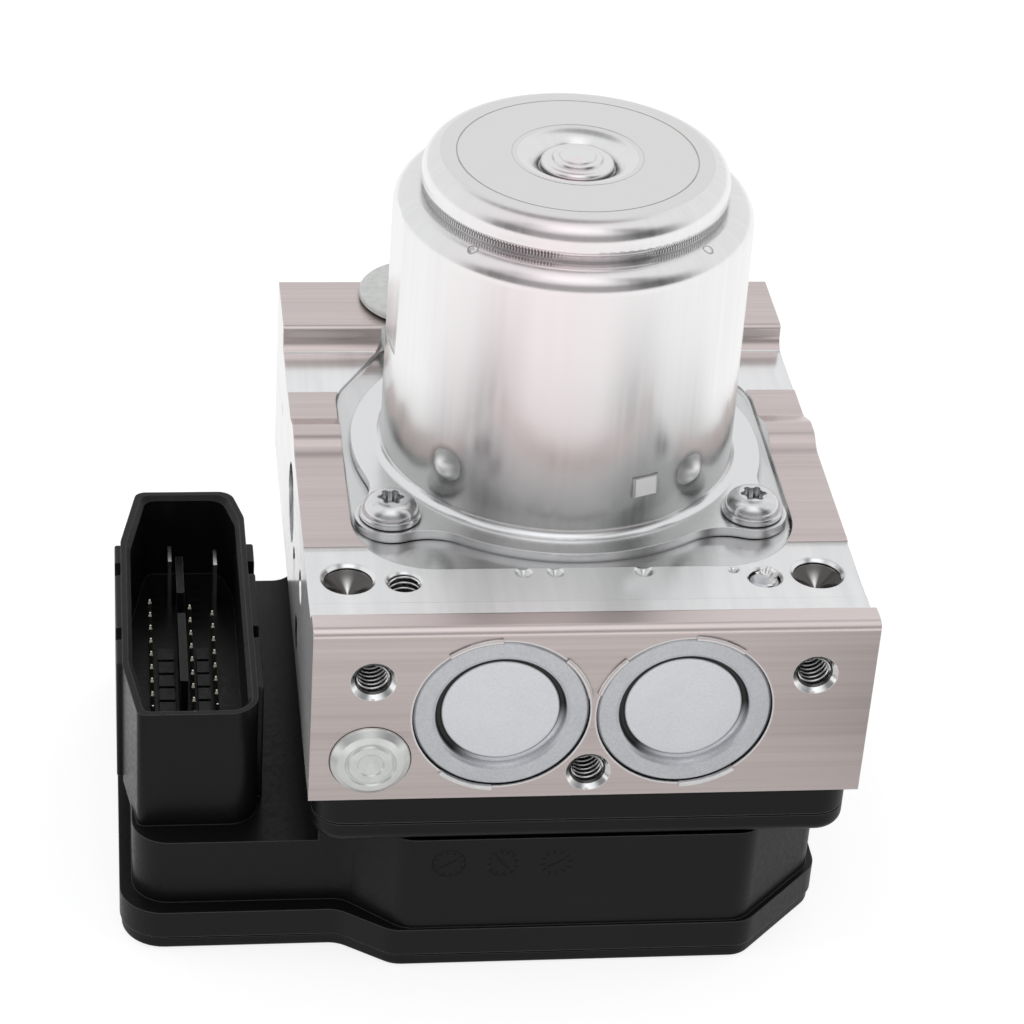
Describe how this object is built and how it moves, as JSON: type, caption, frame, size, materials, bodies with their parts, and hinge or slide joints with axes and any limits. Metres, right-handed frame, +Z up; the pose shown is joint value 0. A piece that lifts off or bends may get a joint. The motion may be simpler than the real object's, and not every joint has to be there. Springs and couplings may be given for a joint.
{
  "type": "anti-lock brake hydraulic modulator",
  "caption": "Anti-lock brake modulator: milled aluminium valve block with a drawn pump motor on top and a black control unit with its plug socket below.",
  "frame": {"origin": "where the motor's axis meets the standing plane, under the control unit's cover", "axes": "+Z up along the motor's axis, -Y the face with the two round covers, -X the side of the plug socket"},
  "size_m": [0.1149, 0.1092, 0.1161],
  "materials": {
    "block": "extruded and milled, fine lines along X",
    "can": "satin plated drawn steel",
    "screw_steel": "zinc plated, bright",
    "cover_zinc": "satin zinc, blue-grey",
    "plug_grey": "matte grey",
    "housing_black": "satin black glass-filled plastic",
    "cover_black": "satin black plastic",
    "seal_rubber": "matte black rubber",
    "board_green": "solder-masked board",
    "contact_tin": "tin plated",
    "copper": "enamelled copper",
    "steel": "ground steel",
    "bronze": "sintered bronze",
    "magnet": "dark ferrite",
    "inner_plastic": "natural plastic",
    "carbon": "carbon"
  },
  "bodies": {
    "modulator": {"hydraulic_block": "block", "accumulator_cover_left": "cover_zinc", "accumulator_cover_right": "cover_zinc", "damper_cap": "cover_zinc", "transport_plugs": "plug_grey", "pump_plug_left": "cover_zinc", "pump_plug_right": "cover_zinc", "pump_sleeve_left": "steel", "pump_sleeve_right": "steel", "sealing_balls": "screw_steel", "ledge_plug": "cover_zinc", "lower_bearing": "steel", "tail_bearing": "steel", "motor_contact": "copper", "contact_sleeve": "inner_plastic", "motor_can": "can", "motor_screws": "screw_steel", "motor_magnets": "magnet", "end_bush": "bronze", "brush_plate": "inner_plastic", "brushes": "carbon", "brush_springs": "steel", "inlet_valve_bodies": "steel", "outlet_valve_bodies": "steel", "coil_windings": "copper", "coil_yokes": "steel", "ecu_housing": "housing_black", "ecu_cover": "cover_black", "cover_seal": "seal_rubber", "block_gasket": "seal_rubber", "circuit_board": "board_green", "signal_pins": "contact_tin", "power_blades": "contact_tin", "ecu_screws": "screw_steel", "pump_spring_left": "steel", "pump_spring_right": "steel", "accumulator_spring_left": "steel", "accumulator_spring_right": "steel"},
    "rotor": {"rotor_shaft": "steel", "armature_core": "steel", "armature_winding": "copper", "commutator": "copper", "eccentric_bearing": "steel"},
    "pump_piston_left_body": {"pump_piston_left": "steel"},
    "pump_piston_right_body": {"pump_piston_right": "steel"},
    "accumulator_piston_left_body": {"accumulator_piston_left": "block", "piston_seal_left": "seal_rubber"},
    "accumulator_piston_right_body": {"accumulator_piston_right": "block", "piston_seal_right": "seal_rubber"},
    "inlet_plunger_1_body": {"inlet_plunger_1": "steel"},
    "inlet_plunger_2_body": {"inlet_plunger_2": "steel"},
    "inlet_plunger_3_body": {"inlet_plunger_3": "steel"},
    "inlet_plunger_4_body": {"inlet_plunger_4": "steel"},
    "outlet_plunger_1_body": {"outlet_plunger_1": "steel"},
    "outlet_plunger_2_body": {"outlet_plunger_2": "steel"},
    "outlet_plunger_3_body": {"outlet_plunger_3": "steel"},
    "outlet_plunger_4_body": {"outlet_plunger_4": "steel"}
  },
  "joints": [
    {"name": "rotor_spin", "type": "hinge", "parent": "modulator", "child": "rotor", "pos_m": [0, 0, 0.074], "axis": [0, 0, 1], "continuous": true},
    {"name": "pump_stroke_left", "type": "slide", "parent": "modulator", "child": "pump_piston_left_body", "axis": [-1, 0, 0], "range_m": [0, 0.0018], "stiffness_N_per_m": 300, "springref_m": -0.002, "deforming": ["pump_spring_left"]},
    {"name": "pump_stroke_right", "type": "slide", "parent": "modulator", "child": "pump_piston_right_body", "axis": [1, 0, 0], "range_m": [0, 0.0018], "stiffness_N_per_m": 300, "springref_m": -0.002, "deforming": ["pump_spring_right"]},
    {"name": "accumulator_stroke_left", "type": "slide", "parent": "modulator", "child": "accumulator_piston_left_body", "axis": [0, -1, 0], "range_m": [0, 0.0075], "stiffness_N_per_m": 400, "springref_m": -0.006, "deforming": ["accumulator_spring_left"]},
    {"name": "accumulator_stroke_right", "type": "slide", "parent": "modulator", "child": "accumulator_piston_right_body", "axis": [0, -1, 0], "range_m": [0, 0.0075], "stiffness_N_per_m": 400, "springref_m": -0.006, "deforming": ["accumulator_spring_right"]},
    {"name": "inlet_valve_1", "type": "slide", "parent": "modulator", "child": "inlet_plunger_1_body", "axis": [0, 0, 1], "range_m": [0, 0.0003], "stiffness_N_per_m": 150, "springref_m": -0.0006},
    {"name": "inlet_valve_2", "type": "slide", "parent": "modulator", "child": "inlet_plunger_2_body", "axis": [0, 0, 1], "range_m": [0, 0.0003], "stiffness_N_per_m": 150, "springref_m": -0.0006},
    {"name": "inlet_valve_3", "type": "slide", "parent": "modulator", "child": "inlet_plunger_3_body", "axis": [0, 0, 1], "range_m": [0, 0.0003], "stiffness_N_per_m": 150, "springref_m": -0.0006},
    {"name": "inlet_valve_4", "type": "slide", "parent": "modulator", "child": "inlet_plunger_4_body", "axis": [0, 0, 1], "range_m": [0, 0.0003], "stiffness_N_per_m": 150, "springref_m": -0.0006},
    {"name": "outlet_valve_1", "type": "slide", "parent": "modulator", "child": "outlet_plunger_1_body", "axis": [0, 0, -1], "range_m": [0, 0.0003], "stiffness_N_per_m": 150, "springref_m": -0.0006},
    {"name": "outlet_valve_2", "type": "slide", "parent": "modulator", "child": "outlet_plunger_2_body", "axis": [0, 0, -1], "range_m": [0, 0.0003], "stiffness_N_per_m": 150, "springref_m": -0.0006},
    {"name": "outlet_valve_3", "type": "slide", "parent": "modulator", "child": "outlet_plunger_3_body", "axis": [0, 0, -1], "range_m": [0, 0.0003], "stiffness_N_per_m": 150, "springref_m": -0.0006},
    {"name": "outlet_valve_4", "type": "slide", "parent": "modulator", "child": "outlet_plunger_4_body", "axis": [0, 0, -1], "range_m": [0, 0.0003], "stiffness_N_per_m": 150, "springref_m": -0.0006}
  ]
}
